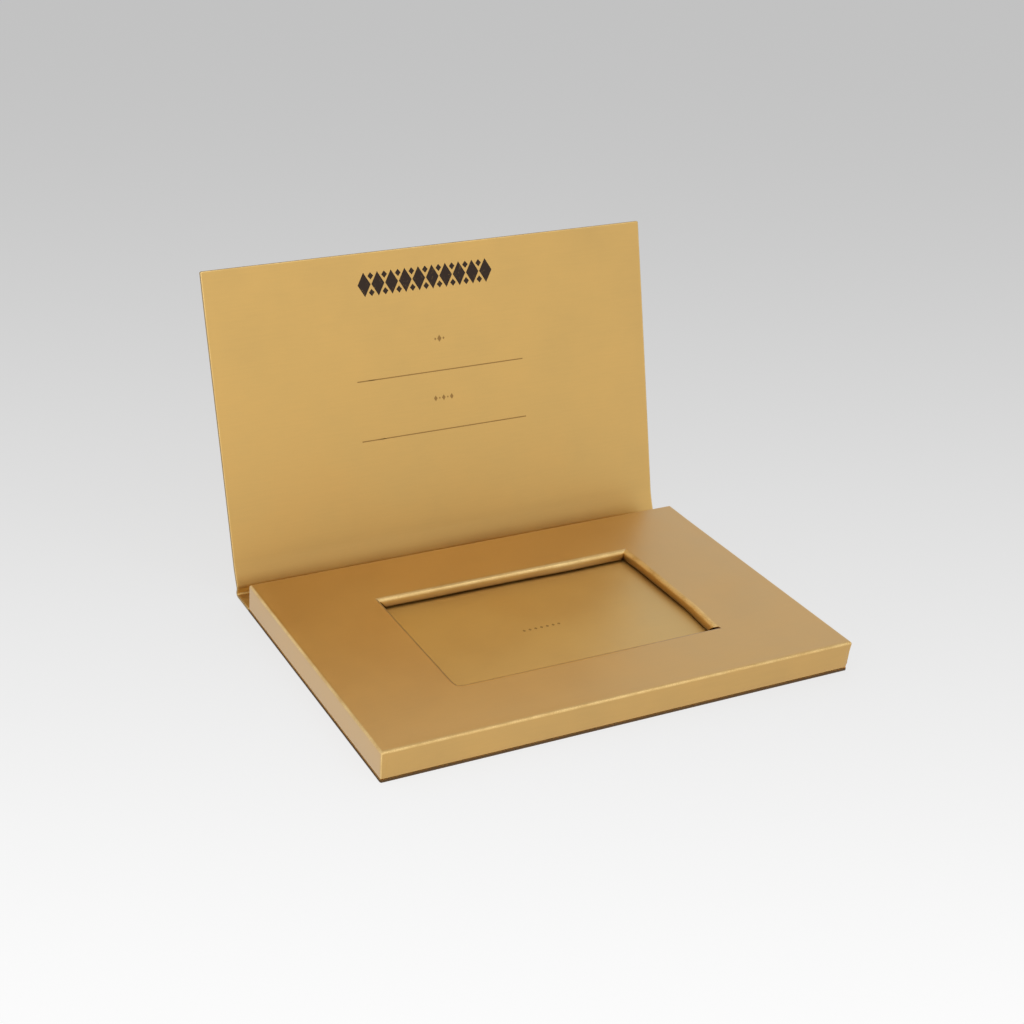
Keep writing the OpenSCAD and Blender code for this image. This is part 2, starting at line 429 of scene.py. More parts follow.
def crease_strip(name, axis, turn, materials):
    """The strip of card that bends at a crease, with its bead inside and its groove outside."""
    sheet = Sheet()
    reach, half, round_r = SETBACK, COVER_HALF, sizes().edge_round
    bead, groove = sizes().bead, 0.14 * MM
    steps, column_step = 12, 6 * MM

    def bent(y, height):
        angle = turn * ease((y + reach) / (2 * reach))
        return (y * math.cos(angle) - height * math.sin(angle),
                y * math.sin(angle) + height * math.cos(angle))

    across = [reach * (2 * i / steps - 1) for i in range(steps + 1)]
    bump = [math.cos(math.pi * y / (2 * reach)) ** 2 for y in across]
    inner = [(y, bead * b, 0.5 * b) for y, b in zip(across, bump)]
    outer = [(y, -BOARD + groove * b, b) for y, b in zip(across, bump)]
    columns = spaced(-half + round_r, half - round_r, column_step)
    rows = []
    for x, shrink in [(-half, round_r)] + [(x, 0.0) for x in columns] + [(half, round_r)]:
        round_trip = [(y, height - shrink, wear_and_painted_light) for y, height, wear_and_painted_light in inner]
        round_trip += [(y, height + shrink, wear_and_painted_light) for y, height, wear_and_painted_light in reversed(outer)]
        rows.append([sheet.point(axis + Vector((x, *bent(y, height))), (x, axis.y + y), wear_and_painted_light)
                     for y, height, wear_and_painted_light in round_trip])
    for a, b in zip(rows, rows[1:]):
        sheet.band(a, b)
    sheet.face(rows[0][::-1], 1)
    sheet.face(rows[-1], 1)
    piece = sheet.make(name, materials, face_out=True)
    middle = Vector((0, math.cos(turn / 2), math.sin(turn / 2)))
    span = reach * math.cos(turn / 2)
    return piece, axis - middle * span, axis + middle * span


# How far the lid's closest rows of points stand in from its foot and from its upper edge
LID_ROWS = tuple(MM * at for at in (0.4, 0.8, 1.2, 1.6, 2, 2.6, 3.4, 4.6, 6, 8, 10, 12))


class HOLDER_OT_cover(Operator):
    """Makes the cover's three panels with their cut edges"""
    bl_idname = "holder.cover"
    bl_label = "Cover panels"

    def execute(self, context):
        foil = gold_card("cover_foil", colours().gold)
        skins = [foil, cut_edge("board_edge", colours().core)]
        # The base's cut edges take the darker core colour that paints the shade along the table.
        painted_shade_skins = [foil, cut_edge("base_edge", colours().core_in_painted_shade)]
        half, reach = COVER_HALF, SETBACK
        base = slab("cover_base", (-half, BASE_LO.y), (half, BASE_CREASE.y - reach), BOARD,
                    on_base, painted_shade_skins, ("left", "front", "right"), taper=base_taper)
        spine = slab("cover_spine", (-half, BASE_CREASE.y + reach),
                     (half, LID_CREASE.y - reach), BOARD, on_base, skins, ("left", "right"))
        lid = slab("cover_lid", (-half, reach), (half, LID_LENGTH), BOARD, on_lid, skins,
                   ("left", "right", "back"), wave=cover_wave, taper=lid_taper,
                   close=LID_ROWS)
        for piece, body in ((base, "base"), (spine, "spine"), (lid, "lid")):
            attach(piece, body)
            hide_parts(body + "_panel")
        return {"FINISHED"}


class HOLDER_OT_creases(Operator):
    """Makes the two strips of card that bend between the cover's panels"""
    bl_idname = "holder.creases"
    bl_label = "Creases"

    def execute(self, context):
        skins = [gold_card("cover_foil", colours().gold), cut_edge("board_edge", colours().core)]
        for name, axis, turn, bodies in (
                ("crease_base_spine", BASE_CREASE, 0.0, ("base", "spine")),
                ("crease_spine_lid", LID_CREASE, LID_ANGLE, ("spine", "lid"))):
            piece, start, end = crease_strip(name, axis, turn, skins)
            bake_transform(piece)
        return {"FINISHED"}


# The folded tray


def tray_relief(x, y):
    """Height of the tray's top over flat: soft waves, and a dip beside the outer folds."""
    dip_at, dip_width, wave_run, rise_run = 2.6 * MM, 1.3 * MM, 6 * MM, 14 * MM
    edge = min(x - TOP_LO.x, TOP_HI.x - x, y - TOP_LO.y, TOP_HI.y - y)
    wave = waves(x, y, 28, 34, 0.7) + 0.4 * waves(x, y, 75, 80, 5.2)
    dip = 0.5 * hump(edge - dip_at, dip_width)
    rise = sizes().back_rise * ease(1 - (TOP_HI.y - y) / rise_run)
    return sizes().tray_relief * (wave * ease(edge / wave_run) - dip) + rise


def window_shift(x, y):
    """How the sheet beside the window lies off its straight edges: the right edge bows out,
    the back edge comes forward a little and the front left corner is rounded."""
    left, right = LIP_LEFT_LO.x, LIP_RIGHT_HI.x
    front, back = LIP_FRONT_LO.y, LIP_BACK_HI.y
    most_bow, most_forward = 1.7 * MM, 0.7 * MM
    corner_shift, corner_width = Vector((0.5, 0.75, 0)) * MM, 1.9 * MM
    # The bow is less within back_run of the back edge and over front_run from front_start
    back_run, front_start, front_run = 12 * MM, -12 * MM, 17 * MM
    fade_out, bow_inside, forward_inside = 5 * MM, 1 * MM, 6 * MM
    off_left, off_right = max(0.0, left - x), max(0.0, x - right)
    off_front, off_back = max(0.0, front - y), max(0.0, y - back)
    bow = most_bow * (0.7 + 0.3 * ease((back - y) / back_run))
    bow *= 1 - 0.6 * ease((front_start - y) / front_run)
    bow *= ease(1 + (x - right) / bow_inside)
    bow *= math.exp(-(off_right + off_front + off_back) / fade_out)
    forward = most_forward * ease(1 + (y - back) / forward_inside)
    forward *= math.exp(-(off_left + off_right + off_back) / fade_out)
    corner = corner_shift * hump(math.hypot(x - left, y - front), corner_width)
    return Vector((bow, -forward, 0)) + corner


def wall_lean(side, y):
    """How far in the foot of a wall stands. The right wall leans in, most at its front, and
    the others lean out a little."""
    right_front, right_back, others = 1.2 * MM, 0.4 * MM, -0.12 * MM
    if side != "right":
        return others
    along = ease((y - FRONT_LO.y) / (TOP_HI.y - TOP_LO.y))
    return right_front + (right_back - right_front) * along


def fold_profile():
    """Rows of a tray wall from the top down: how far out from the flat top, how far down, how far
    down the wall as a share, and how much the folds are worn pale there, which along the top fold
    also paints its highlight."""
    drop, hem = TOP_HI.z - FRONT_LO.z, sizes().hem_radius
    straight = drop - EDGE_FOLD - hem
    rows = []
    for share in shares(8):
        angle = QUARTER * share
        rows.append((EDGE_FOLD * math.sin(angle), EDGE_FOLD * (1 - math.cos(angle)), 0.0,
                     math.sin(2 * angle)))
    rows += [(EDGE_FOLD, EDGE_FOLD + straight * share, share, 0.0) for share in shares(6)]
    for share in shares(5):
        angle = QUARTER * share
        rows.append((EDGE_FOLD - hem * (1 - math.cos(angle)),
                     drop - hem + hem * math.sin(angle), 1.0, math.sin(2 * angle)))
    rows.append((EDGE_FOLD - HEM_FOLD, drop, 1.0, 0.0))
    return rows


def seam_step(x):
    """How far the tray's corner lies behind the cut end of the front and back walls."""
    step, before_seam = 0.05 * MM, 0.03 * MM
    return step if abs(x) > RIGHT_HI.x - sizes().seam_inset - before_seam else 0.0


class Flap(NamedTuple):
    """What sets one window flap apart from the others, in millimetres and shares.

    Each cut says how much of the flap's end is missing at its fold and at its foot. bulge_at is
    the share of the flap's length, and spring the share of the common spring. A positive last
    value makes the roll worn pale with a painted highlight, and a negative one paints shade along
    the roll."""
    first_cut: tuple
    last_cut: tuple
    bulge: float
    bulge_at: float
    spring: float
    rubbed_and_painted_light: float


# The last value of each flap sets the tone painted along its roll: worn pale foil with a painted
# highlight on the back and right flaps, painted shade on the front and left.
FLAPS = {
    "back": Flap((0.05, 3.3), (0.05, 1.7), bulge=0.28, bulge_at=0.78, spring=1.0, rubbed_and_painted_light=1.0),
    "right": Flap((0.05, 1.6), (1.3, 4.8), bulge=0.05, bulge_at=0.3, spring=0.5, rubbed_and_painted_light=1.6),
    "front": Flap((0.05, 2.0), (0.05, 2.4), bulge=0.1, bulge_at=0.5, spring=0.8, rubbed_and_painted_light=-1.0),
    "left": Flap((0.05, 2.2), (0.05, 2.3), bulge=0.1, bulge_at=0.6, spring=1.2, rubbed_and_painted_light=-1.0),
}


def flap_profile(spring):
    """Rows of a window flap from its fold: how far in, how far down, how far along it, and the
    tone painted there: positive down the roll for worn pale foil with a painted highlight,
    negative below it for painted shade growing towards the foot."""
    roll = sizes().roll_radius
    bend = QUARTER - spring
    # Painted shade on the flap, growing towards its foot.
    foot_shade = -1.1
    rows = []
    for share in shares(8):
        angle = bend * share
        rows.append((roll * math.sin(angle), roll * (1 - math.cos(angle)), roll * angle,
                     math.sin(2 * angle)))
    inset, drop, run, _ = rows[-1]
    straight = (FLAP_DROP + sizes().flap_hang - drop) / math.sin(bend)
    for share in shares(4):
        on = straight * share
        rows.append((inset + on * math.cos(bend), drop + on * math.sin(bend), run + on,
                     foot_shade * share ** 1.3))
    return rows


def window_flap(sheet, side, row):
    """Adds one flap below a row of points along the window's edge."""
    flap = FLAPS[side]
    bulge_width, inset_ripple, drop_ripple = 0.13, 0.07 * MM, 0.06 * MM
    seed = SIDES[side].x * 4 + SIDES[side].y * 9
    inward = -SIDES[side]
    along = Vector((0, 0, 1)).cross(inward)
    ends = sheet.points[row[0]].copy(), sheet.points[row[-1]].copy()
    length = (ends[1] - ends[0]).dot(along)
    profile = flap_profile(sizes().flap_spring * flap.spring)
    deepest = profile[-1][1]
    upper = row
    for inset, drop, run, rub_and_painted_light in profile:
        share = drop / deepest
        first, last = (MM * (top + (foot - top) * share ** 0.8)
                       for top, foot in (flap.first_cut, flap.last_cut))
        lower = []
        for index in row:
            base = sheet.points[index]
            t = (base - ends[0]).dot(along) / length
            at = first + (length - first - last) * t
            ripple = waves(at, seed, 60, 1, 2.3)
            swell = flap.bulge * MM * hump(t - flap.bulge_at, bulge_width)
            swell += inset_ripple * ripple
            point = base + along * (at - length * t) + inward * (inset + swell * share)
            point.z -= drop + drop_ripple * ripple * share
            flat = ends[0] + along * at + inward * run
            # Positive values give the roll worn pale foil and a painted highlight; negative ones
            # paint shade.
            lower.append(sheet.point(point, flat, rub_and_painted_light * flap.rubbed_and_painted_light if rub_and_painted_light > 0 else rub_and_painted_light))
        sheet.band(upper, lower, closed=False)
        upper = lower


def tray_lines(top, hole, more=()):
    """Places of the tray's grid lines along one axis. They are closer beside the outer folds
    and the window."""
    fine = (0.5 * MM, 1.3 * MM, 2.6 * MM, 4 * MM)
    step, hole_step = 5 * MM, 4 * MM
    lines = (spaced(top[0], hole[0], step, fine) + spaced(*hole, hole_step, fine)
             + spaced(hole[1], top[1], step, fine))
    return sorted({round(at, 8) for at in (*lines, *more)})


def tray_top(sheet, xs, ys, hole_x, hole_y):
    """Adds the tray's top with its window. Gives the number of the point at each grid place."""
    def inside(value, span):
        return span[0] + SAME_PLACE < value < span[1] - SAME_PLACE

    index = {}
    for i, x in enumerate(xs):
        for j, y in enumerate(ys):
            if not (inside(x, hole_x) and inside(y, hole_y)):
                at = Vector((x, y, TOP_HI.z + tray_relief(x, y))) + window_shift(x, y)
                index[i, j] = sheet.point(at, (x, y))
    for i in range(len(xs) - 1):
        for j in range(len(ys) - 1):
            middle = (xs[i] + xs[i + 1]) / 2, (ys[j] + ys[j + 1]) / 2
            if not (inside(middle[0], hole_x) and inside(middle[1], hole_y)):
                sheet.face((index[i, j], index[i + 1, j], index[i + 1, j + 1], index[i, j + 1]))
    return index


def tray_walls(sheet, xs, ys, index):
    """Adds the walls and their hems round the tray's top."""
    relief_fade = 4 * MM
    loop = rectangle_loop(xs, ys, 6)
    upper = [index[i, j] for i, j, _, _ in loop]
    run = 0.0
    last = (0.0, 0.0)
    for out, drop, wall, rub_and_painted_light in fold_profile():
        run += math.hypot(out - last[0], drop - last[1])
        last = (out, drop)
        lower = []
        for i, j, sides, share in loop:
            x, y = xs[i], ys[j]
            reach = {}
            for side in SIDES:
                reach[side] = out - wall_lean(side, y) * wall
                if side in ("front", "back") and wall > 0:
                    reach[side] -= seam_step(x)
            shift = pushed_out(sides, share, reach, sizes().tray_corner * out / EDGE_FOLD)
            height = tray_relief(x, y) * (1 - ease(drop / relief_fade))
            flat = Vector((x, y, 0)) + shift.normalized() * run
            # The arc of each upright corner gets worn pale foil down its middle, partly a painted
            # highlight.
            corner = math.sin(math.pi * share) if len(sides) == 2 else 0.0
            lower.append(sheet.point((x + shift.x, y + shift.y, TOP_HI.z + height - drop), flat,
                                     max(rub_and_painted_light, corner)))
        sheet.band(upper, lower)
        upper = lower


def folded_tray():
    """The tray's one sheet: its top with the window, the walls and their hems, the flaps."""
    seam = RIGHT_HI.x - sizes().seam_inset
    # Three close lines at each seam, so that its step stays sharp
    seams = [side * (seam + off * MM) for side in (-1, 1) for off in (-0.09, -0.02, 0.04)]
    hole_x = (LIP_LEFT_LO.x, LIP_RIGHT_HI.x)
    hole_y = (LIP_FRONT_LO.y, LIP_BACK_HI.y)
    xs = tray_lines((TOP_LO.x, TOP_HI.x), hole_x, seams)
    ys = tray_lines((TOP_LO.y, TOP_HI.y), hole_y)
    sheet = Sheet()
    index = tray_top(sheet, xs, ys, hole_x, hole_y)
    tray_walls(sheet, xs, ys, index)

    def nearest(line, value):
        return min(range(len(line)), key=lambda i: abs(line[i] - value))

    i0, i1 = (nearest(xs, edge) for edge in hole_x)
    j0, j1 = (nearest(ys, edge) for edge in hole_y)
    window_flap(sheet, "back", [index[i, j1] for i in range(i0, i1 + 1)])
    window_flap(sheet, "right", [index[i1, j] for j in range(j1, j0 - 1, -1)])
    window_flap(sheet, "front", [index[i, j0] for i in range(i1, i0 - 1, -1)])
    window_flap(sheet, "left", [index[i0, j] for j in range(j0, j1 + 1)])
    piece = sheet.make("tray_card", [gold_card("tray_foil", colours().tray_gold),
                                     cut_edge("stock_edge", colours().stock_core),
                                     reverse_card("stock_reverse")])
    solid = piece.modifiers.new("stock", "SOLIDIFY")
    solid.thickness, solid.offset = STOCK, -1
    solid.use_rim = True
    solid.material_offset, solid.material_offset_rim = 2, 1
    bpy.context.view_layer.update()
    thick = piece.evaluated_get(bpy.context.evaluated_depsgraph_get())
    mesh = bpy.data.meshes.new_from_object(thick)
    piece.modifiers.clear()
    piece.data = mesh
    return piece


class HOLDER_OT_tray(Operator):
    """Makes the folded tray with its window flaps"""
    bl_idname = "holder.tray"
    bl_label = "Folded tray"

    def execute(self, context):
        tray = folded_tray()
        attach(tray, "base")
        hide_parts("tray_top", *(f"tray_{side}_wall" for side in SIDES),
                    *(f"window_flap_{side}" for side in SIDES))
        return {"FINISHED"}


def platform_wave(x, y):
    """Unevenness of the raised floor."""
    return 0.05 * MM * waves(x, y, 30, 36, 8.4)


def on_platform(x, y, height):
    """A point at a height over the raised floor."""
    return Vector((x, y, PLATFORM_HI.z + height))


class HOLDER_OT_platform(Operator):
    """Makes the raised floor that the card lies on"""
    bl_idname = "holder.platform"
    bl_label = "Card platform"

    def execute(self, context):
        piece = slab("platform_card", PLATFORM_LO[:2], PLATFORM_HI[:2],
                     PLATFORM_HI.z - PLATFORM_LO.z, on_platform,
                     [gold_card("platform_foil", colours().platform_gold),
                      cut_edge("stock_edge", colours().stock_core)], tuple(SIDES),
                     wave=platform_wave, step=4 * MM)
        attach(piece, "base")
        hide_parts("platform_top")
        return {"FINISHED"}


# Printing


# Places and sizes of the printing in millimetres. A place on the lid is across and up from
# its crease, and a place on the raised floor is in the frame's X and Y.
HEADING = (-2.65, 92.0)
HEADING_SIZE = (47.9, 7.7)
RULES = ((0.35, 61.6), (0.2, 42.2))
RULE_LENGTH = 59.8
# Rows of small lozenges: the row's middle, the lozenges' places along it, and their size
SMALL_MARKS = (
    ((0.45, 72.0), (0,), (1.5, 2.3)), ((0.45, 72.0), (-1.5, 1.5), (0.7, 0.9)),
    ((0.35, 52.7), (-2.9, 0, 2.9), (1.3, 1.9)), ((0.35, 52.7), (-1.45, 1.45), (0.6, 0.8)))
FLOOR_MARKS = (((-2.0, -2.5), (-6, -4, -2, 0, 2, 4, 6), (1.1, 1.2)),)


def lozenge(x, y, wide, high):
    """The four corners of a lozenge round the point (x, y)."""
    return [(x - wide / 2, y), (x, y - high / 2), (x + wide / 2, y), (x, y + high / 2)]


def lozenge_band(x, y, wide, high, count):
    """A band of tall lozenges with small ones in the notches between them."""
    pitch = wide / count
    tall = pitch * 0.94, high
    small = pitch * 0.42, high * 0.3
    small_rise = high * 0.34
    shapes = []
    for i in range(count):
        at = x + (i - (count - 1) / 2) * pitch
        shapes.append(lozenge(at, y, *tall))
        if i < count - 1:
            shapes += [lozenge(at + pitch / 2, y + rise, *small)
                       for rise in (-small_rise, small_rise)]
    return shapes


def lozenge_rows(rows):
    """The lozenges of rows such as those of SMALL_MARKS."""
    return [lozenge(x + offset, y, *size) for (x, y), offsets, size in rows for offset in offsets]


def bar(x, y, long, thick, pieces=24):
    """A straight rule as short pieces, so that it can follow the card."""
    step = long / pieces
    starts = [x - long / 2 + i * step for i in range(pieces)]
    return [[(at, y - thick / 2), (at + step, y - thick / 2),
             (at + step, y + thick / 2), (at, y + thick / 2)] for at in starts]


def printed(name, shapes, surface, material):
    """Thin closed pieces of ink, from shapes in millimetres. surface gives the point at a
    height over the card's own place (x, y)."""
    sheet = Sheet()
    lift = sizes().ink_lift
    for shape in shapes:
        shape = [(x * MM, y * MM) for x, y in shape]
        top = [sheet.point(surface(x, y, lift), (x, y)) for x, y in shape]
        low = [sheet.point(surface(x, y, -lift), (x, y)) for x, y in shape]
        sheet.face(top)
        sheet.face(low[::-1])
        sheet.band(top, low)
    return sheet.make(name, [material])


def lid_face(x, s, height):
    """A point over the lid's own bowed face."""
    return on_lid(x, s, cover_wave(x, s) + height)


def platform_face(x, y, height):
    """A point over the raised floor's own uneven face."""
    return on_platform(x, y, platform_wave(x, y) + height)


class HOLDER_OT_printing(Operator):
    """Prints the heading's ornaments, the writing lines and the small marks"""
    bl_idname = "holder.printing"
    bl_label = "Printing"

    def execute(self, context):
        ink = ink_print("dark_ink", colours().ink)
        brown = ink_print("brown_ink", colours().line_ink)
        heading = lozenge_band(*HEADING, *HEADING_SIZE, sizes().ornament_count)
        rules = [piece for x, s in RULES
                 for piece in bar(x, s, RULE_LENGTH, sizes().rule_thickness / MM)]
        small, floor = lozenge_rows(SMALL_MARKS), lozenge_rows(FLOOR_MARKS)
        for name, shapes, surface, material, body, slot in (
                ("print_heading", heading, lid_face, ink, "lid", "print_dark"),
                ("print_rules", rules, lid_face, brown, "lid", "print_brown"),
                ("print_small_marks", small, lid_face, brown, "lid", "print_brown"),
                ("print_floor_mark", floor, platform_face, brown, "base", "print_brown")):
            piece = printed(name, shapes, surface, material)
            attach(piece, body)
        return {"FINISHED"}


class HOLDER_OT_inner_pieces(Operator):
    """Gives the hidden legs, feet, flanges, tabs and tape their finishes"""
    bl_idname = "holder.inner_pieces"
    bl_label = "Inner pieces"

    def execute(self, context):
        for name, node in frame["nodes"].items():
            if node.hide_render:
                continue
            material = tape_film("tape_film") if "tape" in name else reverse_card("inner_reverse")
            node.data.materials.clear()
            node.data.materials.append(material)
        return {"FINISHED"}


# Finishes


def group_tree(name, inputs, outputs):
    """A new shader node group with its named sockets, or None and the group if it exists."""
    if name in bpy.data.node_groups:
        return None, bpy.data.node_groups[name]
    tree = bpy.data.node_groups.new(name, "ShaderNodeTree")
    for label, kind, value in inputs:
        socket = tree.interface.new_socket(label, in_out="INPUT", socket_type=kind)
        if value is not None:
            socket.default_value = value
    for label, kind in outputs:
        tree.interface.new_socket(label, in_out="OUTPUT", socket_type=kind)
    return Nodes(tree), tree


class Nodes:
    """Short calls for adding linked nodes to a tree."""

    def __init__(self, tree):
        self.tree = tree

    def add(self, kind, settings=None, **inputs):
        """A new node with its settings and its inputs."""
        node = self.tree.nodes.new("ShaderNode" + kind if kind[:4] != "Node" else kind)
        for key, value in (settings or {}).items():
            setattr(node, key, value)
        for key, value in inputs.items():
            self.feed(node, key.replace("_", " "), value)
        return node

    def feed(self, node, key, value):
        """Links a socket, or sets its value. Sockets without a name of their own are i0, i1..."""
        numbered = key[0] == "i" and key[1:].isdigit()
        socket = node.inputs[int(key[1:]) if numbered else key]
        if isinstance(value, bpy.types.NodeSocket):
            self.tree.links.new(value, socket)
        else:
            socket.default_value = value

    def math(self, operation, a, b=0.0, c=None, clamp=False):
        """The result of one operation on values or sockets."""
        node = self.add("Math", {"operation": operation, "use_clamp": clamp}, i0=a, i1=b)
        if c is not None:
            self.feed(node, "i2", c)
        return node.outputs[0]

    def noise(self, vector, scale, detail=2.0, roughness=0.5):
        """Noise from 0 to 1, about 0.5. scale is how fine it is, per metre."""
        node = self.add("TexNoise", {"noise_dimensions": "3D"}, Vector=vector, Scale=scale,
                        Detail=detail, Roughness=roughness)
        return node.outputs["Fac"]

    def stretched(self, vector, scale):
        """A place with its axes scaled, for noise that is longer along one of them."""
        mapping = self.add("Mapping", {"vector_type": "POINT"}, Vector=vector, Scale=scale)
        return mapping.outputs["Vector"]

    def mix(self, factor, a, b, blend="MIX"):
        """A blend of two colours, each a socket or three numbers."""
        a, b = (v if isinstance(v, bpy.types.NodeSocket) else (*v[:3], 1.0) for v in (a, b))
        node = self.add("Mix", {"data_type": "RGBA", "blend_type": blend}, i0=factor, i6=a, i7=b)
        return node.outputs[2]

    def grey(self, value):
        """A value as a colour."""
        return self.add("CombineColor", Red=value, Green=value, Blue=value).outputs["Color"]

    def group(self, tree, **inputs):
        """The outputs of a node group placed in this tree."""
        return self.add("Group", {"node_tree": tree}, **inputs).outputs


def card_grain():
    """Group: the tone, roughness and relief of calendered card, in the sheet's own metres."""
    nodes, tree = group_tree(
        "card grain",
        [("Vector", "NodeSocketVector", None), ("Mottle", "NodeSocketFloat", 1.0),
         ("Fibre", "NodeSocketFloat", 1.0), ("Fleck", "NodeSocketFloat", 1.0)],
        [("Tone", "NodeSocketFloat"), ("Dullness", "NodeSocketFloat"),
         ("Height", "NodeSocketFloat")])
    if nodes is None:
        return tree
    given = nodes.add("NodeGroupInput").outputs
    vector = given["Vector"]
    along_fibres = nodes.stretched(vector, (90.0, 1500.0, 1500.0))
    # Each noise says its place, how fine it is, its detail and its roughness
    mottle, patch, fibre, fleck, peel = (
        nodes.math("SUBTRACT", nodes.noise(*texture), 0.5)
        for texture in ((vector, 55.0, 3.0), (vector, 16.0, 2.0), (along_fibres, 1.0, 4.0, 0.6),
                        (vector, 5200.0, 2.0, 0.7), (vector, 420.0, 2.0)))
    soft = nodes.math("MULTIPLY", nodes.math("ADD", mottle, patch), given["Mottle"])
    lines = nodes.math("MULTIPLY", fibre, given["Fibre"])
    flakes = nodes.math("MULTIPLY", fleck, given["Fleck"])
    tone = nodes.math("MULTIPLY_ADD", soft, 0.2, 1.0)
    tone = nodes.math("MULTIPLY_ADD", lines, 0.09, tone)
    tone = nodes.math("MULTIPLY_ADD", flakes, 0.2, tone)
    dull = nodes.math("MULTIPLY", soft, 0.22)
    dull = nodes.math("MULTIPLY_ADD", lines, 0.08, dull)
    dull = nodes.math("MULTIPLY_ADD", flakes, 0.1, dull)
    height = nodes.math("MULTIPLY_ADD", peel, 0.7, nodes.math("MULTIPLY", lines, 0.25))
    height = nodes.math("MULTIPLY_ADD", flakes, 0.12, height)
    result = nodes.add("NodeGroupOutput")
    for label, value in (("Tone", tone), ("Dullness", dull), ("Height", height)):
        nodes.feed(result, label, value)
    return tree


def fold_wear_and_painted_light():
    """Group: where folds and edges are worn pale, which along the folds and flap rolls also paints
    their highlight, broken up by fine noise, and where the foil gets painted shade."""
    nodes, tree = group_tree(
        "fold wear",
        [("Vector", "NodeSocketVector", None), ("Amount", "NodeSocketFloat", 0.5)],
        [("Mask", "NodeSocketFloat"), ("Crease", "NodeSocketFloat")])
    if nodes is None:
        return tree
    given = nodes.add("NodeGroupInput").outputs
    wear_and_painted_light = nodes.add("Attribute", {"attribute_name": "wear_and_painted_light"}).outputs["Fac"]
    broad_marks = nodes.noise(given["Vector"], 160.0, 3.0)
    fine_marks = nodes.noise(given["Vector"], 2400.0, 3.0, 0.65)
    broken = nodes.math("MULTIPLY", broad_marks, fine_marks)
    broken = nodes.math("MULTIPLY_ADD", broken, 3.2, -0.25, clamp=True)
    mask = nodes.math("MULTIPLY", nodes.math("MULTIPLY", wear_and_painted_light, broken), given["Amount"],
                      clamp=True)
    # Negative values of the mask give painted shade.
    crease = nodes.math("MULTIPLY", nodes.math("MULTIPLY", wear_and_painted_light, -1.0, clamp=True),
                        nodes.math("MULTIPLY_ADD", broad_marks, 0.8, 0.6))
    result = nodes.add("NodeGroupOutput")
    nodes.feed(result, "Mask", mask)
    nodes.feed(result, "Crease", crease)
    return tree


def handling_marks():
    """Group: faint smudges and a few fine scuffs left by handling."""
    nodes, tree = group_tree(
        "handling marks",
        [("Vector", "NodeSocketVector", None), ("Amount", "NodeSocketFloat", 1.0)],
        [("Dullness", "NodeSocketFloat")])
    if nodes is None:
        return tree
    given = nodes.add("NodeGroupInput").outputs
    smudge = nodes.noise(given["Vector"], 24.0, 4.0, 0.55)
    smudge = nodes.math("MULTIPLY_ADD", smudge, 5.0, -2.9, clamp=True)
    scuff = nodes.noise(nodes.stretched(given["Vector"], (40.0, 900.0, 900.0)), 1.0, 2.0)
    scuff = nodes.math("MULTIPLY_ADD", scuff, 16.0, -11.2, clamp=True)
    both = nodes.math("MULTIPLY_ADD", scuff, 0.5, smudge)
    result = nodes.add("NodeGroupOutput")
    nodes.feed(result, "Dullness", nodes.math("MULTIPLY", both, given["Amount"]))
    return tree


def new_material(name, **constants):
    """A new material, its node calls and its shader, with the shader's constant values set."""
    material = bpy.data.materials.new(name)
    material.use_nodes = True
    nodes, shader = Nodes(material.node_tree), material.node_tree.nodes["Principled BSDF"]
    for key, value in constants.items():
        nodes.feed(shader, key.replace("_", " "), value)
    return material, nodes, shader


def dress(nodes, shader, colour, rough, grain, relief, depth):
    """Puts the card's grain into a material: its tone over the colour, its dullness over the
    roughness, and its relief as a bump."""
    nodes.feed(shader, "Base Color", nodes.mix(1.0, colour, nodes.grey(grain["Tone"]), "MULTIPLY"))
    nodes.feed(shader, "Roughness", nodes.math("ADD", grain["Dullness"], rough, clamp=True))
    bump = nodes.add("Bump", Height=grain["Height"], Strength=relief, Distance=depth)
    nodes.feed(shader, "Normal", bump.outputs["Normal"])


def gold_card(name, colour):
    """Satin gold foil card under a thin clear film."""
    if name in bpy.data.materials:
        return bpy.data.materials[name]
    material, nodes, shader = new_material(name, Metallic=0.93, Coat_Weight=1.0,
                                           Coat_Roughness=0.35, Coat_IOR=1.6)
    vector = nodes.add("UVMap", {"uv_map": "blank"}).outputs["UV"]
    grain = nodes.group(card_grain(), Vector=vector, Mottle=1.0, Fibre=1.0, Fleck=1.0)
    folds = nodes.group(fold_wear_and_painted_light(), Vector=vector, Amount=1.2)
    marks = nodes.group(handling_marks(), Vector=vector, Amount=0.05)
    # Worn pale foil, which is also the painted highlight of folds and rolls, then painted shade
    # where the mask is negative.
    gold = nodes.mix(folds["Mask"], colour, colours().gold_worn_and_highlight)
    gold = nodes.mix(folds["Crease"], gold, colours().gold_painted_shade)
    rough = nodes.math("MULTIPLY_ADD", folds["Mask"], 0.05,
                       nodes.math("ADD", marks["Dullness"], 0.4))
    dress(nodes, shader, gold, rough, grain, 0.35, 0.012 * MM)
    return material


def matt_card(name, colour, rough, fleck, depth, shine):
    """Uncoated fibrous card, used for cut edges and the unprinted side."""
    if name in bpy.data.materials:
        return bpy.data.materials[name]
    material, nodes, shader = new_material(name, Specular_IOR_Level=shine)
    vector = nodes.add("TexCoord").outputs["Object"]
    grain = nodes.group(card_grain(), Vector=vector, Mottle=1.0, Fibre=2.0, Fleck=fleck)
    dress(nodes, shader, colour, rough, grain, 0.6, depth)
    return material


def cut_edge(name, colour):
    return matt_card(name, colour, rough=0.8, fleck=3.0, depth=0.03 * MM, shine=0.2)


def reverse_card(name):
    return matt_card(name, colours().reverse, rough=0.75, fleck=1.5, depth=0.02 * MM, shine=0.3)


def tape_film(name):
    return matt_card(name, colours().tape, rough=0.4, fleck=0.5, depth=0.01 * MM, shine=0.5)


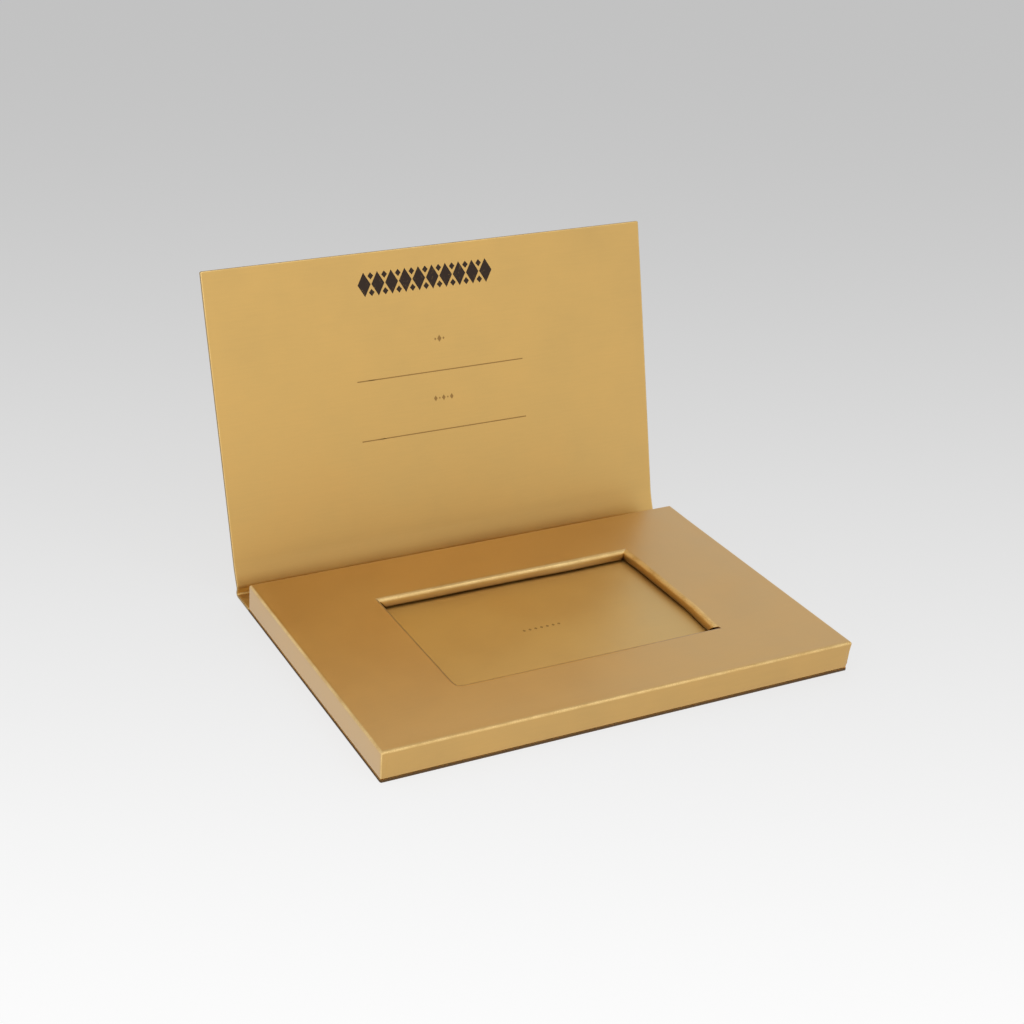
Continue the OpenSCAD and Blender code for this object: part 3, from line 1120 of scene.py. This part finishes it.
def ink_print(name, colour):
    """Ink on the foil: flat colour that lets a little of the foil's flecks through."""
    if name in bpy.data.materials:
        return bpy.data.materials[name]
    material, nodes, shader = new_material(name, Specular_IOR_Level=0.25, Metallic=0.2)
    vector = nodes.add("TexCoord").outputs["Object"]
    grain = nodes.group(card_grain(), Vector=vector, Mottle=0.6, Fibre=1.0, Fleck=2.0)
    thin = nodes.noise(vector, 900.0, 3.0, 0.7)
    thin = nodes.math("MULTIPLY_ADD", thin, 1.6, -0.95, clamp=True)
    tinted = nodes.mix(thin, colour, colours().gold)
    dress(nodes, shader, tinted, 0.42, grain, 0.3, 0.01 * MM)
    return material


# Studio

# The camera's place, its turn and its lens, at the photograph's viewing angle
CAMERA_AT = Vector((-238.49, -400.97, 268.05)) * MM
CAMERA_AZIMUTH = math.radians(-25.407)
CAMERA_ELEVATION = math.radians(27.802)
CAMERA_ROLL = math.radians(1.569)
PICTURE_PIXELS = 1024
FOCAL_PIXELS = 1743.4
CENTRE_PIXEL = (402.9, 569.1)
SENSOR = 36.0

# The floor's brightness falls off along the camera's heading, from where it starts to fall
FLOOR_NEAR, FLOOR_FAR = 0.99, 0.554
FLOOR_START = -170 * MM
FLOOR_FADE = 335 * MM
FLOOR_BEND = 1.225
FLOOR_HALF = 4.0

# The room: its brightness in front and behind, and how it dims towards a patch overhead
ROOM_FRONT, ROOM_BACK = 1.02, 0.72
ROOM_FRONT_WAY = (-0.1, -0.995, 0.0)
ROOM_TOP_WAY = (0.3, -0.3, 0.905)
ROOM_TOP_DIM = 0.45
# Cosines of the angles to the patch's middle where the dimming starts and where it is full
ROOM_TOP_START, ROOM_TOP_FULL = 0.7, 0.93

# The lights face a point just above the tray's top
LIGHTS_AIM = Vector((0, 0, 20)) * MM


def floor_material():
    """Pale floor whose light is mostly a painted glow, darkening softly away from the camera."""
    material, nodes, shader = new_material(
        "pale_floor", Emission_Strength=1.0, Roughness=1.0, Specular_IOR_Level=0.0)
    place = nodes.add("NewGeometry").outputs["Position"]
    heading = (-math.sin(CAMERA_AZIMUTH), math.cos(CAMERA_AZIMUTH), 0.0)
    along = nodes.add("VectorMath", {"operation": "DOT_PRODUCT"}, i0=place, i1=heading)
    way = nodes.math("MAXIMUM", nodes.math("SUBTRACT", along.outputs["Value"], FLOOR_START), 0.0)
    fall = nodes.math("POWER", nodes.math("DIVIDE", way, FLOOR_FADE), FLOOR_BEND)
    fade = nodes.math("EXPONENT", nodes.math("MULTIPLY", fall, -1.0))
    pale = nodes.math("MULTIPLY_ADD", fade, FLOOR_NEAR - FLOOR_FAR, FLOOR_FAR)
    shade = studio().floor_shade
    # The base colour takes the share that the lamps light and shadows can darken; the emission
    # paints the rest of the floor's light as a glow.
    nodes.feed(shader, "Base Color", nodes.grey(nodes.math("MULTIPLY", pale, shade)))
    nodes.feed(shader, "Emission Color", nodes.grey(nodes.math("MULTIPLY", pale, 1 - shade)))
    return material


def softbox(name, toward, distance, size, radiance):
    """A square soft light that faces the tray from the given direction."""
    light = bpy.data.lights.new(name, "AREA")
    light.shape, light.size = "SQUARE", size
    light.energy = radiance * math.pi * size * size
    lamp = bpy.data.objects.new(name, light)
    direction = Vector(toward).normalized()
    lamp.location = LIGHTS_AIM + direction * distance
    lamp.rotation_mode = "QUATERNION"
    lamp.rotation_quaternion = (-direction).to_track_quat("-Z", "Y")
    bpy.context.scene.collection.objects.link(lamp)


def soft_room():
    """World light: brighter in front of the object than behind it, dimmer overhead."""
    world = bpy.data.worlds.new("soft_room")
    bpy.context.scene.world = world
    world.use_nodes = True
    nodes = Nodes(world.node_tree)
    way = nodes.add("TexCoord").outputs["Generated"]
    toward = nodes.add("VectorMath", {"operation": "DOT_PRODUCT"}, i0=way, i1=ROOM_FRONT_WAY)
    share = nodes.math("MULTIPLY_ADD", toward.outputs["Value"], 0.5, 0.5, clamp=True)
    level = nodes.math("MULTIPLY_ADD", share, ROOM_FRONT - ROOM_BACK, ROOM_BACK)
    overhead = nodes.add("VectorMath", {"operation": "DOT_PRODUCT"}, i0=way, i1=ROOM_TOP_WAY)
    dim = nodes.add("MapRange", {"interpolation_type": "SMOOTHSTEP"},
                    Value=overhead.outputs["Value"], From_Min=ROOM_TOP_START,
                    From_Max=ROOM_TOP_FULL, To_Min=1.0, To_Max=ROOM_TOP_DIM).outputs["Result"]
    nodes.feed(world.node_tree.nodes["Background"], "Color",
               nodes.grey(nodes.math("MULTIPLY", level, dim)))


class HOLDER_OT_studio(Operator):
    """Sets up the floor, the soft lights and the camera at the photograph's angle"""
    bl_idname = "holder.studio"
    bl_label = "Studio"

    def execute(self, context):
        scene = context.scene
        half = FLOOR_HALF
        mesh = bpy.data.meshes.new("floor")
        mesh.from_pydata([(-half, -half, 0), (half, -half, 0), (half, half, 0),
                          (-half, half, 0)], [], [(0, 1, 2, 3)])
        mesh.materials.append(floor_material())
        floor = bpy.data.objects.new("floor", mesh)
        floor.location.z = -0.05 * MM
        scene.collection.objects.link(floor)
        soft_room()
        # Each light: the way to it from the tray, its distance and its width in metres
        softbox("key_light", (0.35, 0.45, 0.82), 0.9, 0.6, studio().key_strength)
        softbox("front_light", (-0.08, -0.9, 0.36), 1.2, 0.5, studio().front_strength)
        softbox("overhead_light", (0.38, -0.5, 0.78), 0.9, 0.26, studio().overhead_strength)

        data = bpy.data.cameras.new("camera")
        data.sensor_fit, data.sensor_width = "HORIZONTAL", SENSOR
        data.lens = FOCAL_PIXELS * SENSOR / PICTURE_PIXELS
        data.shift_x = 0.5 - CENTRE_PIXEL[0] / PICTURE_PIXELS
        data.shift_y = CENTRE_PIXEL[1] / PICTURE_PIXELS - 0.5
        data.clip_start, data.clip_end = 0.01, 20.0
        camera = bpy.data.objects.new("camera", data)
        turn = (Matrix.Rotation(CAMERA_AZIMUTH, 4, "Z")
                @ Matrix.Rotation(QUARTER - CAMERA_ELEVATION, 4, "X")
                @ Matrix.Rotation(CAMERA_ROLL, 4, "Z"))
        camera.matrix_world = Matrix.Translation(CAMERA_AT) @ turn
        scene.collection.objects.link(camera)
        scene.camera = camera
        scene.view_settings.view_transform = "Standard"
        scene.view_settings.look = "None"
        scene.cycles.max_bounces = 16
        scene.cycles.glossy_bounces = 12
        scene.cycles.diffuse_bounces = 8
        return {"FINISHED"}


# Panel and registration

STEPS = (HOLDER_OT_cover, HOLDER_OT_creases, HOLDER_OT_tray, HOLDER_OT_platform,
         HOLDER_OT_printing, HOLDER_OT_inner_pieces, HOLDER_OT_studio)


class HOLDER_PT_panel(Panel):
    """The holder's settings and building steps"""
    bl_idname = "HOLDER_PT_panel"
    bl_label = "Gift card holder"
    bl_space_type = "VIEW_3D"
    bl_region_type = "UI"
    bl_category = "Card holder"

    def draw(self, context):
        for step in STEPS:
            self.layout.operator(step.bl_idname)
        for group in (context.scene.holder_sizes, context.scene.holder_colours,
                      context.scene.holder_studio):
            box = self.layout.box()
            for key in group.__annotations__:
                box.prop(group, key)


CLASSES = (HolderSizes, HolderColours, StudioSettings, *STEPS, HOLDER_PT_panel)


def register():
    for item in CLASSES:
        bpy.utils.register_class(item)
    bpy.types.Scene.holder_sizes = PointerProperty(type=HolderSizes)
    bpy.types.Scene.holder_colours = PointerProperty(type=HolderColours)
    bpy.types.Scene.holder_studio = PointerProperty(type=StudioSettings)


def unregister():
    for key in ("holder_sizes", "holder_colours", "holder_studio"):
        delattr(bpy.types.Scene, key)
    for item in reversed(CLASSES):
        bpy.utils.unregister_class(item)


def main():
    register()
    bpy.ops.holder.cover()
    bpy.ops.holder.creases()
    bpy.ops.holder.tray()
    bpy.ops.holder.platform()
    bpy.ops.holder.printing()
    bpy.ops.holder.inner_pieces()
    bpy.ops.holder.studio()


if __name__ == "__main__":
    main()
